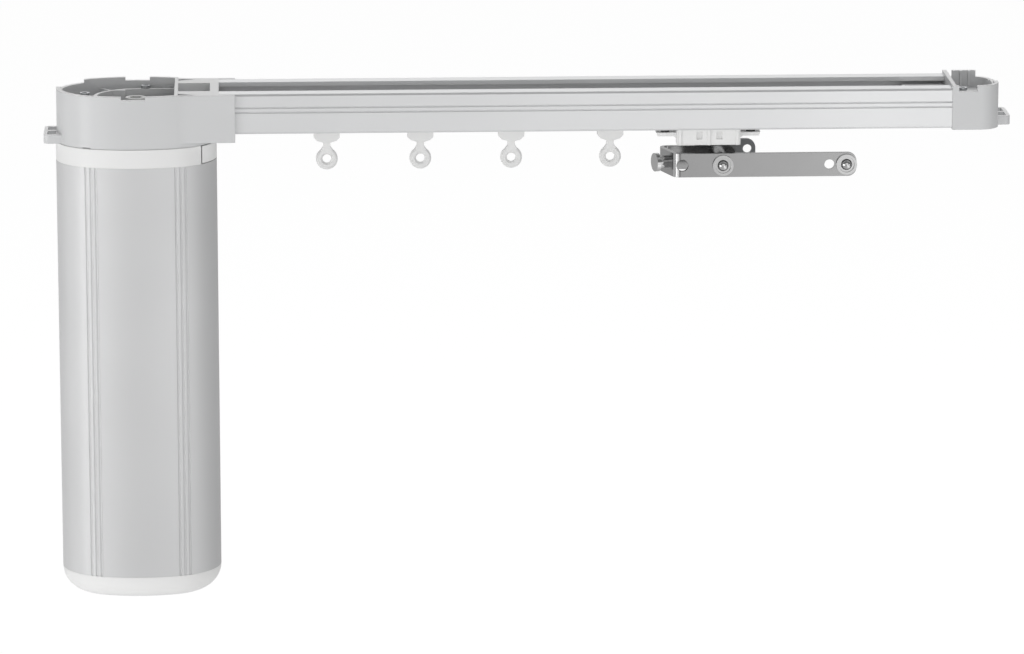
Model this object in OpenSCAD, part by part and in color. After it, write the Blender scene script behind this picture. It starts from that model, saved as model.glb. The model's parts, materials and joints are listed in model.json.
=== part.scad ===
// Electric curtain track: an extruded rail with a belt-driven carrier, four
// gliders, a tube motor hanging under the drive end and an idler end housing.
// The origin is on the rail's top plane, at the middle of its length.
// X runs along the rail to the idler end, Y runs to the wall, Z is up.

/* [Rail] */
// Length of the extruded rail
rail_len = 282.4; // [260:0.2:480]
// Width of the rail
rail_w = 34; // [33:0.5:40]
// Height of the rail
rail_h = 15.5; // [15:0.25:18]
// Thickness of the rail's side walls
rail_wall = 1.4; // [1:0.1:1.8]
// Thickness of the top lips
lip_t = 1.2; // [1:0.1:1.6]
// Depth of the top channel below the lips
channel_d = 4.2; // [3.8:0.1:4.4]
// Thickness of the web between the two chambers
web_t = 1.2; // [1:0.1:1.4]
// Thickness of the bottom lips
bottom_t = 1.3; // [1:0.1:1.5]
// Width of the slot between the top lips
top_slot_w = 19; // [16:0.5:21]
// Width of the slot that the gliders hang through
glide_slot_w = 6.4; // [6:0.1:7]
// Depth of the fine lines on the side faces
line_d = 0.35; // [0.2:0.05:0.5]

/* [Motor] */
// Width of the motor tube along the rail
motor_w = 62; // [60:0.5:70]
// Depth of the motor tube across the rail
motor_d = 46; // [45:0.5:48]
// Bulge of the tube's front and back beyond its two rounded sides
motor_crown = 1.5; // [1:0.1:3]
// Wall of the motor tube
tube_wall = 2; // [1.5:0.1:2.6]
// Length of the motor tube
tube_len = 162; // [140:1:260]
// Height of the white collar above the tube
collar_h = 7.2; // [6.5:0.1:9]
// Height of the domed bottom cap
cap_h = 9.7; // [8:0.1:12]

/* [Drive housing] */
// Height of the housing below the rail's top plane
housing_h = 20.2; // [20:0.1:24]
// Wall of the housing
housing_wall = 1.8; // [1.4:0.1:2.2]
// Distance from the drive axis to the end of the rail
drive_gap = 32; // [31:0.25:36]
// Length of the neck that sleeves the rail
sleeve_len = 6.2; // [5:0.1:10]
// Wall of the neck beside the rail
sleeve_wall = 2; // [1.5:0.1:2.2]
// Outer radius of the well wall around the pulley
well_r = 16.4; // [15.6:0.1:17]
// Depth of the well wall's top edge below the rail's top plane
well_drop = 3.3; // [2.6:0.1:4]

/* [End housing] */
// Length of the end housing
end_len = 18.6; // [18.4:0.1:26]
// Radius of the end housing's outer corners
end_corner_r = 8; // [5:0.5:10]
// Wall of the end housing
end_wall = 1.6; // [1.2:0.1:1.8]

/* [Belt] */
// Radius of the belt's middle line round the pulleys
belt_r = 9.8; // [9.4:0.1:10]
// Thickness of the belt without its teeth
belt_t = 1.2; // [1:0.1:1.4]
// Width of the belt
belt_h = 4.8; // [4:0.1:5]
// Depth of the belt's teeth
tooth_d = 1; // [0.7:0.1:1.2]
// Spacing of the belt's teeth
tooth_pitch = 4; // [3:0.25:5]

/* [Carrier] */
// Distance of the carrier's middle from the drive end of the rail
carrier_at = 189; // [186:0.5:194]
// Length of the carrier's wing plate
wing_len = 40.4; // [39:0.2:44]
// Radius of the carrier's wheels
wheel_r = 2.7; // [2.5:0.05:2.8]
// Length of the steel arm in front, from the middle of the carrier
arm_reach = 57.3; // [50:0.5:70]
// Height of the steel arm
arm_h = 9.3; // [9:0.1:10.5]
// Thickness of the sheet steel
steel_t = 1.6; // [1.2:0.1:1.8]

/* [Gliders] */
// Width of a glider's head
glider_w = 10; // [8:0.2:11]
// Outside diameter of a glider's eye
eye_d = 8.4; // [7.4:0.1:9.4]
// Diameter of the hole in a glider's eye
eye_hole_d = 3.4; // [2.8:0.1:4]

/* [Fits] */
// Clearance between fixed pieces that slip together
fit = 0.1; // [0.05:0.01:0.15]
// Gap kept between pieces that move past each other
run_gap = 0.3; // [0.25:0.01:0.35]
// Radial clearance of a turning shaft in its bore
shaft_fit = 0.05; // [0.03:0.01:0.08]

/* [Hidden] */
$fn = 64;
eps = 0.01;
over = 2;
// Length of a cutter that passes right through its piece
bore_len = 20;

// Distance of each glider from the drive end of the rail, and the same from the middle
glider_at = [41.5, 77.7, 112.9, 151.3];
glider_x = [for (d = glider_at) d - rail_len / 2];

// Levels of the rail
web_top = -lip_t - channel_d;
web_under = web_top - web_t;
floor_z = bottom_t - rail_h;
rail_end = rail_len / 2;
wall_y = rail_w / 2;

// Places along the rail
drive_x = -rail_end - drive_gap;
idler_x = rail_end + end_len - end_wall - run_gap - (belt_r + belt_t / 2 + 0.5);
carrier_x = carrier_at - rail_end;

// Belt and pulley levels
belt_room = 1.6;
belt_top = web_under - belt_room;
belt_under = belt_top - belt_h;
belt_in = belt_r - belt_t / 2;
belt_out = belt_r + belt_t / 2;
tooth_w = 0.5 * tooth_pitch;
barrel_r = belt_in - run_gap;
flange_r = belt_out + 0.5;
flange_t = 0.7;
flange_gap = 0.2;
flange_top = belt_top + flange_gap + flange_t;
flange_under = belt_under - flange_gap - flange_t;

// Motor column levels
collar_top = -housing_h;
tube_top = collar_top - collar_h;
tube_end = tube_top - tube_len;
spigot_h = 6;
shaft_r = 4;
hex_r = 2.6;
coupling_r = 9;
gearbox_top = tube_top - spigot_h;
gearbox_r = 17;
gearbox_h = 30;
gear_rings = [6, 13, 20];
gear_ring = [1, 2];
shaft_bore = 10;
shaft_in = 8;
can_r = 16;
can_boss_h = 4;
can_top = gearbox_top - gearbox_h;
tray_len = 50;
tray_foot = tube_end + spigot_h;
can_end = tray_foot + tray_len + can_boss_h;
can_h = can_top - can_end;
tray_w = 44;
tray_lip = 3;
tray_back = -4;
hollow_w = 32;
hollow_back = 8;
board_gap = 0.4;
board_t = 1.6;
capacitor_r = 4;
capacitor_h = 8;
capacitor_x = 12;
capacitor_z = 16;
shield = [30, 3.4, 14];
shield_z = 30;
board_hole = [19, 8];
board_hole_r = 1.4;

// Supply inlet in the bottom cap: outside along X and Y, depth of its socket
inlet = [15, 9, 7];
inlet_wall = 1.2;
inlet_flange = [2, 1.6];
pin_x = 3.6;
pin_short = 1.5;

// The tube's oval is made of two side arcs and two flatter front and back arcs
motor_side_r = motor_d / 2 - motor_crown;
oval_c = motor_w / 2 - motor_side_r;
oval_k = (pow(oval_c, 2) - pow(motor_crown, 2)) / (2 * motor_crown);
oval_r = oval_k + motor_d / 2;
function oval_join(inset) = oval_c * (1 + (motor_side_r - inset) / norm([oval_c, oval_k]));
function oval_y(x) = abs(x) > oval_join(0)
    ? sqrt(pow(motor_side_r, 2) - pow(abs(x) - oval_c, 2))
    : sqrt(pow(oval_r, 2) - x * x) - oval_k;

// Points of the oval at an inset, as one ring that starts on +X
oval_turn = atan2(oval_k, oval_c);
function polar(r, a) = r * [cos(a), sin(a)];
function arc(c, r, a, b, n) = [for (i = [0:n - 1]) c + polar(r, a + (b - a) * i / n)];
function oval_ring(inset, n = 12) =
    let (r = motor_side_r - inset, big = oval_r - inset)
    concat(arc([oval_c, 0], r, -oval_turn, oval_turn, 2 * n),
    arc([0, -oval_k], big, oval_turn, 180 - oval_turn, n),
    arc([-oval_c, 0], r, 180 - oval_turn, 180 + oval_turn, 2 * n),
    arc([0, oval_k], big, 180 + oval_turn, 360 - oval_turn, n));

// A path whose inner corners are bent at radius r, and the outline of a strip along it
function unit(v) = v / norm(v);
function bent(p, r, n = 6) = [for (i = [0:len(p) - 1]) each i == 0 || i == len(p) - 1 ? [p[i]] :
    let (u = unit(p[i - 1] - p[i]), w = unit(p[i + 1] - p[i]), half = acos(u * w) / 2)
    let (c = p[i] + unit(u + w) * r / sin(half), s = p[i] + u * r / tan(half) - c)
    let (e = p[i] + w * r / tan(half) - c, a = atan2(s.y, s.x), d = atan2(e.y, e.x) - a)
    let (turn = d > 180 ? d - 360 : d < -180 ? d + 360 : d)
    [for (k = [0:n]) c + polar(r, a + turn * k / n)]];
function side_of(p, i) =
    let (a = p[max(i - 1, 0)], b = p[min(i + 1, len(p) - 1)], t = unit(b - a))
    [-t.y, t.x];
function strip(p, t) = concat(
    [for (i = [0:len(p) - 1]) p[i] + side_of(p, i) * t / 2],
    [for (i = [len(p) - 1:-1:0]) p[i] - side_of(p, i) * t / 2]);

// Drive housing
housing_inset = 0.4;
rim_up = 0.3;
notch_d = 1.3;
rib_t = 1.4;
rib_x = 15;
sleeve_y = wall_y + sleeve_wall;
sleeve_under = -rail_h - 2.9;
chamber_floor = floor_z - 0.2;
pocket_floor = -12;
tunnel_y = belt_out + 1.4;
cell_y = 8.6;
boss_r = 2.1;
pry_slot = [2.8, 0.5];
pry_x = -18.6;
boss_rib = 1;
boss_in = 5.7;
housing_bosses = [[boss_in + boss_rib + 4.6 - motor_w / 2, 2.4], [3.7, motor_d / 2 - boss_in],
    [-3.5, boss_in - boss_rib - motor_d / 2]];
blend_r = 15;
bearing_r = 7;
bearing_h = 4.8;
race_t = 1.1;
shield_drop = 0.4;
bearing_floor = chamber_floor - bearing_h;
ear_t = 3.4;
ear_w = 19;
ear_reach = 5.4;
ear_slot = [3.3, 6.6];
ear_corner = 2;
ear_edge = 1.4;
ear_gap = 2;
screw_r = 1.2;
screw_head_r = 1.9;
head_h = 1.1;
socket_floor = 0.5;
socket_share = 0.55;

// Base plate with the round dock that the motor hangs on, and the latch that locks it
base_t = 2.6;
dock_r = 13;
dock_h = 6.4;
dock_groove = 2;
latch_x = 25.4;
latch_tongue = [latch_x - dock_r + dock_groove - run_gap, 12, 2.4];
latch_z = (tube_top + collar_top) / 2;

// Carrier
carrier_neck_y = glide_slot_w / 2 - run_gap - 0.2;
axle_x = 12.5;
axle_r = 0.9;
axle_z = floor_z + run_gap + wheel_r;
wheel_w = 2.8;
wheel_in = carrier_neck_y + run_gap;
chassis_len = 34;
wing_top = -rail_h - 2.9;
wing_t = 1.4;
wing_y = 6;
wing_screw = [wing_len / 2 - 3.6, -3.6];
block_len = 24.6;
block_y = 8.5;
block_top = -rail_h - 2 * run_gap;
block_under = -rail_h - 7.4;
block_rib = [1.2, 0.4];
window = [2.2, 0.9];
window_x = [-3.6, 4.2];
wing_slope = 0.6;
gusset = 2.6;
gusset_low = block_under + steel_t + 0.2;
hanger_front = 3;
hanger_bore = 5;
clamp_len = 11;
clamp_jaw = 1.4;
clamp_gap = 0.4;
clamp_bridge = 0.8;
clamp_screw_r = 0.6;
clamp_screw = [clamp_len / 2 - 2, belt_under + belt_h / 2];
hanger_screw = [7, 3];
arm_top = -rail_h - 10.5;
arm_mid = arm_top - arm_h / 2;
arm_front = -10;
arm_back = 8;
arm_left = -12.6;
arm_back_left = -18;
arm_back_right = 11.7;
arm_bend = 2.4;
arm_corner = 3.4;
spacer_r = 3.4;
nut_h = 2.4;
nut_r = 3.9;
rivet_h = 0.8;
rivet_r = 3;
knob_neck = [2.4, 3.2];
knob_head = [3.6, 1.6];
bolt_x = 5.5;
bolt_r = 2;
cup_r = 4;
cup_in = 3;
cup_h = 1.1;
cup_floor = 0.4;
dome_r = 2.2;
dome_h = 1.9;
near_hole_x = -10.2;
near_hole_r = 2.3;
tip_hole_x = arm_reach - 10.5;
tip_hole_r = 1.95;
tip_stud_x = arm_reach - 3.9;
lug_x = 16.4;
lug_r = 3.6;
lug_hole_r = 1.7;
hanger_left = -4;
hanger_top = block_under;

// End housing
end_y = wall_y + 0.4;
end_under = -rail_h - 0.6;
end_rim = 1.1;
end_low = -1.4;
end_floor = end_under + end_wall;
tongue_len = 17;
axle_head_r = 3;
idler_axle_r = 2;
spoke_hole_r = 1.7;
end_boss = [4.4, -11.8];
end_boss_r = 2.6;
end_boss_top = end_rim - 2.6;
end_notch = [2.5, 9.6];
end_tab = [3.6, 12.8];
end_ribs = [6.6, 9.8];
end_rib = [0.8, 1];

// A box given by its lowest and highest corners
module span(a, b) {
    translate(a)
        cube(b - a);
}

// A flat outline drawn in X and Z, with a thickness along Y from y0 to y1
module upright(y0, y1) {
    translate([0, y1, 0])
        rotate([90, 0, 0])
            linear_extrude(y1 - y0)
                children();
}

// The oval of the motor column, at an inset from the tube's outside
module oval(inset = 0) {
    for (side = [-1, 1])
        translate([side * oval_c, 0])
            circle(motor_side_r - inset);
    intersection() {
        translate([0, -oval_k])
            circle(oval_r - inset, $fn = 256);
        translate([0, oval_k])
            circle(oval_r - inset, $fn = 256);
        square([2 * oval_join(inset), motor_d], center = true);
    }
}

// A lug with two slots, which reaches from x = 0 along +X
module ear() {
    difference() {
        union() {
            translate([-over, -ear_w / 2, 0])
                cube([over + ear_reach - ear_corner, ear_w, ear_t]);
            translate([0, ear_corner - ear_w / 2, 0])
                cube([ear_reach, ear_w - 2 * ear_corner, ear_t]);
            for (side = [-1, 1])
                translate([ear_reach - ear_corner, side * (ear_w / 2 - ear_corner), 0])
                    cylinder(h = ear_t, r = ear_corner);
        }
        for (side = [-1, 1])
            translate([ear_reach - ear_edge - ear_slot.x,
                    side * (ear_gap + ear_slot.y) / 2 - ear_slot.y / 2, -1])
                cube([ear_slot.x, ear_slot.y, ear_t + 2]);
    }
}

// A pan-head screw that points down, with its seat at z = 0
module pan_screw(length, r = screw_r, head_r = screw_head_r) {
    translate([0, 0, -length])
        cylinder(h = length, r = r);
    difference() {
        cylinder(h = head_h, r = head_r);
        translate([0, 0, socket_floor])
            cylinder(h = head_h, r = socket_share * head_r, $fn = 6);
    }
}

// Half of the rail's section, on the side of +Y
module rail_half() {
    inner = wall_y - rail_wall;
    lines = [-0.34 * rail_h, -0.46 * rail_h];
    difference() {
        translate([0, -rail_h])
            square([wall_y, rail_h]);
        translate([-1, web_top])
            square([1 + inner, channel_d]);
        translate([-1, -lip_t - 1])
            square([1 + top_slot_w / 2, lip_t + 2]);
        translate([-1, floor_z])
            square([1 + inner, web_under - floor_z]);
        translate([-1, -rail_h - 1])
            square([1 + glide_slot_w / 2, bottom_t + 2]);
        for (z = lines)
            translate([wall_y, z])
                circle(line_d, $fn = 4);
        for (z = [0, -rail_h])
            translate([wall_y, z])
                circle(0.7, $fn = 4);
    }
    // Guide rib beside the wheel track
    translate([glide_slot_w / 2 + 3.9, floor_z - eps])
        square([0.7, 0.6 + eps]);
    // Small beads that hold the twist-in ceiling clamps
    translate([top_slot_w / 2, -lip_t - 0.5])
        square([0.8, 0.5 + eps]);
}

module track_rail() {
    color("#d5d6d8")
    difference() {
        rotate([90, 0, 90])
            translate([0, 0, -rail_end])
                linear_extrude(rail_len) {
                    rail_half();
                    mirror([1, 0])
                        rail_half();
                }
        // The guide ribs stop short of the idler pulley
        span([idler_x - flange_r - 1, -wall_y + rail_wall, floor_z],
            [rail_end + 1, wall_y - rail_wall, web_under]);
    }
}

// Plan of the open bowl inside the housing, up to the cross rib
module bowl_plan() {
    intersection() {
        oval(housing_inset + housing_wall);
        translate([-motor_w, -motor_d])
            square([motor_w + rib_x, 2 * motor_d]);
    }
}

// Plan of the well round the pulley, open towards the rail
module well_plan(r) {
    circle(r);
    translate([0, -r])
        square([rib_x, 2 * r]);
}

// Plan of what stands in the bowl: well wall, screw bosses and ribs
module bowl_islands() {
    well_plan(well_r);
    for (b = housing_bosses)
        translate(b)
            circle(boss_r);
    // One rib from each boss to the wall, and one from the well
    translate([1 - motor_w / 2, housing_bosses[0].y - boss_rib / 2])
        square([housing_bosses[0].x + motor_w / 2 - 1, boss_rib]);
    translate([housing_bosses[1].x - boss_rib / 2, housing_bosses[1].y])
        square([boss_rib, motor_d / 2 - 1 - housing_bosses[1].y]);
    translate([housing_bosses[2].x - boss_rib / 2, 1 - motor_d / 2])
        square([boss_rib, motor_d / 2 - 1 + housing_bosses[2].y]);
    rotate(128)
        translate([well_r - 1, -boss_rib / 2])
            square([motor_d / 2 - well_r + 1.4, boss_rib]);
}

// Plan of the soft blend between the oval's side and the neck, on the side of +Y
module neck_blend() {
    r = motor_side_r - housing_inset;
    away = [sqrt(pow(r + blend_r, 2) - pow(sleeve_y + blend_r, 2)), sleeve_y + blend_r];
    touch = away * r / (r + blend_r);
    translate([oval_c, 0])
        difference() {
            polygon([[touch.x - 1, sleeve_y - 1], [touch.x - 1, touch.y - eps], [touch.x, touch.y - eps],
                [away.x, sleeve_y - eps], [away.x, sleeve_y - 1]]);
            translate(away)
                circle(blend_r, $fn = 256);
        }
}

module drive_housing() {
    bowl_top = rim_up + 1;
    color("#c6c8ca")
    translate([drive_x, 0, 0])
    difference() {
        union() {
            translate([0, 0, collar_top])
                linear_extrude(housing_h + rim_up)
                    oval(housing_inset);
            span([10, -sleeve_y, sleeve_under], [drive_gap + sleeve_len, sleeve_y, 0]);
            for (side = [0, 1])
                mirror([0, side, 0])
                    translate([0, 0, sleeve_under])
                        linear_extrude(-sleeve_under)
                            neck_blend();
            translate([-motor_w / 2 + 1, 0, collar_top + 0.3])
                mirror([1, 0, 0])
                    ear();
        }
        // Bowl above the well wall, pockets beside it, and the well itself
        translate([0, 0, -well_drop])
            linear_extrude(well_drop + bowl_top)
                bowl_plan();
        translate([0, 0, pocket_floor])
            linear_extrude(-pocket_floor)
                difference() {
                    bowl_plan();
                    bowl_islands();
                }
        difference() {
            translate([0, 0, chamber_floor])
                linear_extrude(-chamber_floor)
                    well_plan(well_r - rib_t);
            // Pilaster on the far side of the well
            span([-10.4, flange_r + 1.2, chamber_floor - 1], [-4.2, well_r, -well_drop]);
        }
        // Tunnel of the belt, the open cell over it and the socket of the rail
        span([rib_x - 1, -tunnel_y, chamber_floor], [drive_gap + 1, tunnel_y, web_under]);
        span([rib_x + rib_t, -cell_y, web_top], [drive_gap - 3.4, cell_y, bowl_top]);
        span([drive_gap, -wall_y - fit, -rail_h - fit],
            [drive_gap + sleeve_len + 1, wall_y + fit, bowl_top]);
        for (side = [-1, 1])
            translate([0, 0, -4])
                linear_extrude(4 + bowl_top)
                    polygon([
                        [rib_x + rib_t, side * (sleeve_y - 5)],
                        [rib_x + rib_t, side * (sleeve_y - 1.6)],
                        [rib_x + 8.5, side * (sleeve_y - 1.6)]]);
        // Notches of the rim: one in front, the rear low but for two tabs
        span([-5.2, -motor_d, rim_up - notch_d], [3.9, -12, bowl_top]);
        span([-motor_w, 2, rim_up - notch_d], [-20.2, motor_d, bowl_top]);
        span([-4.3, 12, rim_up - notch_d], [5.2, motor_d, bowl_top]);
        // Neck side of the rim is level with the rail
        span([rib_x + rib_t, -motor_d, 0], [motor_w, motor_d, bowl_top]);
        // Slot in the lower edge for prying the motor off
        translate([pry_x - pry_slot.x / 2, -motor_d, collar_top - 1])
            cube([pry_slot.x, motor_d / 2 + 5, 1 + pry_slot.y]);
        // Seat of the bearing, seat of the base plate and screw holes
        translate([0, 0, bearing_floor])
            cylinder(h = bore_len, r = bearing_r);
        translate([0, 0, collar_top - 1])
            linear_extrude(base_t + 1)
                oval(housing_inset + housing_wall);
        for (b = housing_bosses)
            translate([b.x, b.y, collar_top - 1])
                cylinder(h = housing_h, r = screw_r + fit);
    }
}

module housing_base() {
    color("#b4b6b8")
    translate([drive_x, 0, 0])
    difference() {
        union() {
            translate([0, 0, collar_top])
                linear_extrude(base_t)
                    oval(housing_inset + housing_wall + fit);
            translate([0, 0, collar_top - dock_h])
                cylinder(h = dock_h + 1, r = dock_r);
        }
        translate([0, 0, bearing_floor])
            cylinder(h = bore_len, r = bearing_r);
        // Way of the coupling, under the shelf that carries the bearing
        translate([0, 0, collar_top - dock_h - 1])
            cylinder(h = dock_h + 1, r = coupling_r);
        translate([0, 0, collar_top - 1])
            cylinder(h = base_t, r = shaft_r + 1);
        // Groove that the latch tongue enters
        translate([0, 0, latch_z - latch_tongue.z / 2 - run_gap])
            difference() {
                cylinder(h = latch_tongue.z + 2 * run_gap, r = dock_r + 1);
                translate([0, 0, -1])
                    cylinder(h = latch_tongue.z + 3, r = dock_r - dock_groove);
            }
        for (b = housing_bosses)
            translate([b.x, b.y, collar_top - 1])
                cylinder(h = base_t + 2, r = screw_r + fit);
    }
}

module housing_screws() {
    color("#8d9094")
    for (b = housing_bosses)
        translate([drive_x + b.x, b.y, -well_drop])
            pan_screw(housing_h - well_drop - 0.4);
}

module drive_bearing() {
    color("#b9bcc0")
    translate([drive_x, 0, bearing_floor])
        difference() {
            cylinder(h = bearing_h, r = bearing_r - fit);
            translate([0, 0, -1])
                cylinder(h = bearing_h + 2, r = shaft_r + shaft_fit);
            // Shield groove between the races
            translate([0, 0, bearing_h - shield_drop])
                difference() {
                    cylinder(h = 1, r = bearing_r - race_t);
                    translate([0, 0, -1])
                        cylinder(h = 3, r = shaft_r + race_t);
                }
        }
}

module motor_collar() {
    slot = latch_tongue + [1, 2 * run_gap, 2 * run_gap];
    color("#f0f0ee")
    translate([drive_x, 0, 0])
    difference() {
        union() {
            translate([0, 0, tube_top])
                linear_extrude(collar_h)
                    oval(0);
            translate([0, 0, gearbox_top])
                linear_extrude(spigot_h + 1)
                    oval(tube_wall + fit);
        }
        translate([0, 0, gearbox_top - 1])
            cylinder(h = bore_len, r = coupling_r);
        translate([0, 0, collar_top - dock_h - 0.2])
            cylinder(h = bore_len, r = dock_r + fit);
        // Seat of the latch, with the slot of its tongue
        span([latch_x - run_gap, -motor_d, tube_top], [motor_w, motor_d, collar_top + 1]);
        translate([latch_x - slot.x, -slot.y / 2, latch_z - slot.z / 2])
            cube(slot);
    }
}

module motor_latch() {
    t = latch_tongue;
    color("#f0f0ee")
    translate([drive_x, 0, 0]) {
        translate([0, 0, tube_top + run_gap])
            linear_extrude(collar_h - 2 * run_gap)
                intersection() {
                    oval(0);
                    translate([latch_x, -motor_d])
                        square([motor_w, 2 * motor_d]);
                }
        translate([latch_x - t.x, -t.y / 2, latch_z - t.z / 2])
            cube(t + [1, 0, 0]);
    }
}

module motor_tube() {
    groove_x = [15.4, 17.3, 19.2];
    color("#c4c6c8")
    translate([drive_x, 0, tube_end])
    linear_extrude(tube_len)
    difference() {
        oval(0);
        oval(tube_wall);
        for (x = groove_x, sx = [-1, 1], sy = [-1, 1])
            translate([sx * x, sy * (oval_y(x) + 0.15)])
                circle(0.6, $fn = 8);
    }
}

module gearbox_case() {
    color("#8f9296")
    translate([drive_x, 0, can_top])
    difference() {
        union() {
            cylinder(h = gearbox_h, r = gearbox_r);
            for (z = gear_rings)
                translate([0, 0, z])
                    cylinder(h = gear_ring.y, r = gearbox_r + gear_ring.x);
        }
        translate([0, 0, gearbox_h - shaft_bore])
            cylinder(h = shaft_bore + 1, r = shaft_r + shaft_fit);
    }
}

module motor_can() {
    color("#6f7276")
    translate([drive_x, 0, can_end]) {
        cylinder(h = can_h, r = can_r);
        translate([0, 0, -can_boss_h])
            cylinder(h = can_boss_h + eps, r = 6);
    }
}

module board_carrier() {
    hollow_lip = tray_lip + 5;
    color("#3c3f42")
    translate([drive_x, 0, tray_foot])
    difference() {
        linear_extrude(tray_len)
            oval(tube_wall + 0.5);
        // Open tray in front for the board, with a hollow behind it
        span([-tray_w / 2, -motor_d, tray_lip], [tray_w / 2, tray_back, tray_len - tray_lip]);
        span([-hollow_w / 2, tray_back - 1, hollow_lip], [hollow_w / 2, hollow_back, tray_len - hollow_lip]);
    }
}

module control_board() {
    half = tray_w / 2 - board_gap;
    front = tray_back - board_t;
    low = tray_lip + board_gap;
    color("#2f6b45")
    translate([drive_x, 0, tray_foot])
    difference() {
        union() {
            span([-half, front, low], [half, tray_back, tray_len - low]);
            // Capacitors and the shield over the processor
            for (x = [-capacitor_x, 0, capacitor_x])
                translate([x, front + eps, capacitor_z])
                    rotate([90, 0, 0])
                        cylinder(h = capacitor_h, r = capacitor_r);
            translate([-shield.x / 2, front - shield.y, shield_z])
                cube(shield + [0, eps, 0]);
        }
        for (side = [-1, 1])
            translate([side * board_hole.x, tray_back + 1, board_hole.y])
                rotate([90, 0, 0])
                    cylinder(h = board_t + 2, r = board_hole_r);
    }
}

// The cap's dome: rings of the oval that draw in on a quarter ellipse
module cap_dome(inset, h, rings = 7) {
    n = len(oval_ring(0));
    edge = 10;
    levels = [for (i = [0:rings]) let (a = 90 * i / rings) [inset + edge * (1 - cos(a)), -h * sin(a)]];
    points = [for (v = levels, p = oval_ring(v.x)) [p.x, p.y, v.y]];
    sides = [for (i = [0:rings - 1], j = [0:n - 1], half = [0, 1])
        let (a = i * n + j, b = i * n + (j + 1) % n)
        half == 0 ? [a, b, b + n] : [a, b + n, a + n]];
    top = [[for (j = [n - 1:-1:0]) j]];
    base = [[for (j = [0:n - 1]) rings * n + j]];
    polyhedron(points, concat(top, sides, base));
}

module bottom_cap() {
    color("#f2f2f0")
    translate([drive_x, 0, tube_end])
    difference() {
        union() {
            cap_dome(0, cap_h);
            translate([0, 0, -eps])
                linear_extrude(spigot_h + eps)
                    difference() {
                        oval(tube_wall + fit);
                        oval(tube_wall + fit + 2);
                    }
        }
        // Seat of the inlet
        translate([-inlet.x / 2 - fit, -inlet.y / 2 - fit, -cap_h - 1])
            cube([inlet.x + 2 * fit, inlet.y + 2 * fit, cap_h + 2]);
    }
}

module power_inlet() {
    color("#26282a")
    translate([drive_x, 0, tube_end - cap_h])
    difference() {
        union() {
            translate([-inlet.x / 2, -inlet.y / 2, 0])
                cube([inlet.x, inlet.y, cap_h + inlet_flange[1]]);
            translate([-inlet.x / 2 - inlet_flange[0], -inlet.y / 2 - inlet_flange[0], cap_h])
                cube([inlet.x + 2 * inlet_flange[0], inlet.y + 2 * inlet_flange[0], inlet_flange[1]]);
        }
        translate([inlet_wall - inlet.x / 2, inlet_wall - inlet.y / 2, -1])
            cube([inlet.x - 2 * inlet_wall, inlet.y - 2 * inlet_wall, 1 + inlet.z]);
    }
}

module inlet_pins() {
    color("#c9a85a")
    translate([drive_x, 0, tube_end - cap_h + pin_short])
        for (x = [-pin_x, pin_x])
            translate([x, 0, 0])
                cylinder(h = inlet.z - pin_short, r = 0.9);
}

module output_shaft() {
    hex_end = -well_drop - 3;
    color("#a6a9ad")
    translate([drive_x, 0, 0]) {
        translate([0, 0, gearbox_top - shaft_in])
            cylinder(h = bearing_floor - 1 - gearbox_top + shaft_in, r = shaft_r);
        translate([0, 0, bearing_floor - 1 - eps])
            cylinder(h = hex_end - bearing_floor + 1, r = hex_r, $fn = 6);
        translate([0, 0, collar_top - 3])
            cylinder(h = 2, r = coupling_r - 1.5);
    }
}

module drive_pulley() {
    teeth = floor(2 * PI * barrel_r / tooth_pitch);
    color("#ededeb")
    translate([drive_x, 0, 0])
    difference() {
        union() {
            translate([0, 0, flange_under])
                cylinder(h = flange_t, r = flange_r);
            translate([0, 0, flange_top - flange_t])
                cylinder(h = flange_t, r = flange_r);
            translate([0, 0, flange_under])
                linear_extrude(flange_top - flange_under) {
                    circle(barrel_r - tooth_d);
                    for (i = [0:teeth - 1])
                        rotate(360 * i / teeth)
                            translate([barrel_r - tooth_d - 0.5, -0.5])
                                square([tooth_d + 0.45, 1]);
                }
            translate([0, 0, bearing_floor])
                cylinder(h = -well_drop - 0.4 - bearing_floor, r = shaft_r);
            translate([0, 0, flange_top - eps])
                cylinder(h = 1.2, r = shaft_r + 2);
        }
        translate([0, 0, bearing_floor - 1])
            cylinder(h = bore_len, r = hex_r + fit, $fn = 6);
    }
}

// The belt is a closed band. Its teeth are drawn on the straight runs: round
// the pulleys they lie in the pulleys' own gaps.
module toothed_belt() {
    span_len = idler_x - drive_x;
    clear = flange_r + 1;
    count = floor((span_len - 2 * clear) / tooth_pitch);
    color("#2a2b2d")
    translate([drive_x, 0, belt_under])
    linear_extrude(belt_h) {
        difference() {
            union() {
                for (x = [0, span_len])
                    translate([x, 0])
                        circle(belt_out, $fn = 96);
                translate([0, -belt_out])
                    square([span_len, 2 * belt_out]);
            }
            for (x = [0, span_len])
                translate([x, 0])
                    circle(belt_in, $fn = 96);
            translate([0, -belt_in])
                square([span_len, 2 * belt_in]);
        }
        for (i = [0:count], side = [-1, 1])
            translate([clear + i * tooth_pitch, side * (belt_in - tooth_d / 2 + eps)])
                square([tooth_w, tooth_d + 2 * eps], center = true);
    }
}

// Plan of the end housing, at an inset from its outside
module end_plan(inset = 0) {
    reach = end_len - end_corner_r;
    w = end_y - end_corner_r;
    for (side = [-1, 1])
        translate([reach, side * w])
            circle(end_corner_r - inset);
    translate([inset, inset - end_y])
        square([reach - inset, 2 * (end_y - inset)]);
    translate([inset, -w])
        square([end_len - 2 * inset, 2 * w]);
}

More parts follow.
